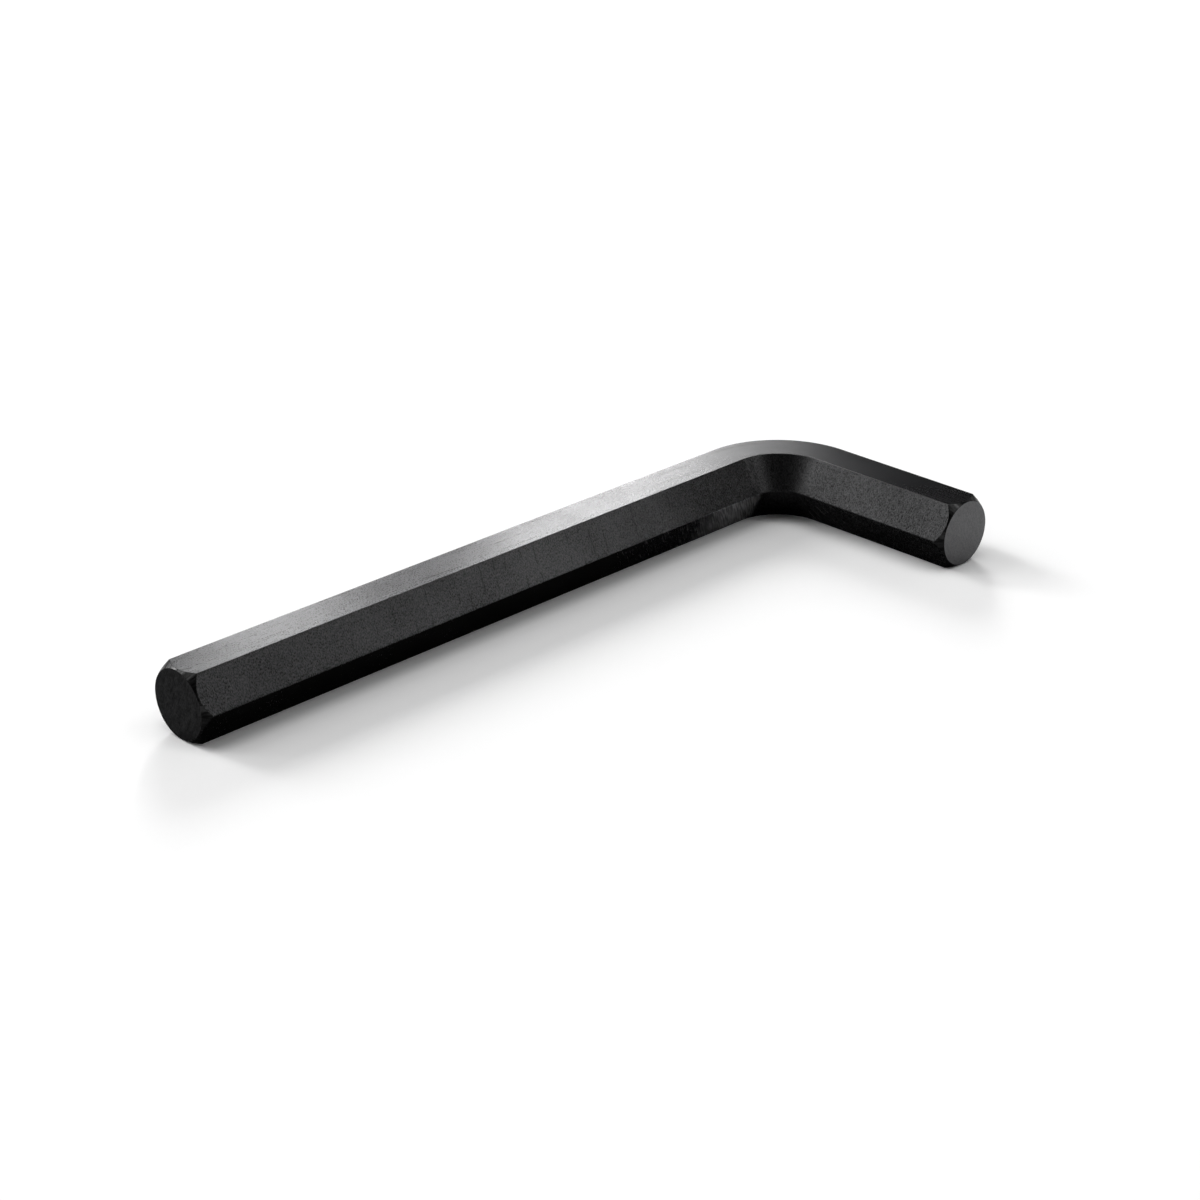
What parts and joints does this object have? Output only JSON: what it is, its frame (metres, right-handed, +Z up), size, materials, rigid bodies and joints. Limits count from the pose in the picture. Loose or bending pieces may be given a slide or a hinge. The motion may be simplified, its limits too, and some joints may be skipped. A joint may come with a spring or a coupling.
{
  "type": "hex key",
  "caption": "L-shaped hexagonal bar key with a short bent arm, a radiused elbow and a turned chamfer at each end.",
  "frame": {"origin": "middle of the overall length and width, on the surface that the key lies on", "axes": "+Z up from that surface; the long arm runs along X with its end face towards -X; the short arm runs along Y with its end face towards -Y"},
  "size_m": [0.1074, 0.0383, 0.009],
  "materials": {
    "black_finish": "satin black oxide on hardened steel, with fine grain and light handling marks"
  },
  "bodies": {
    "root": {"hex_key": "black_finish"}
  },
  "joints": []
}
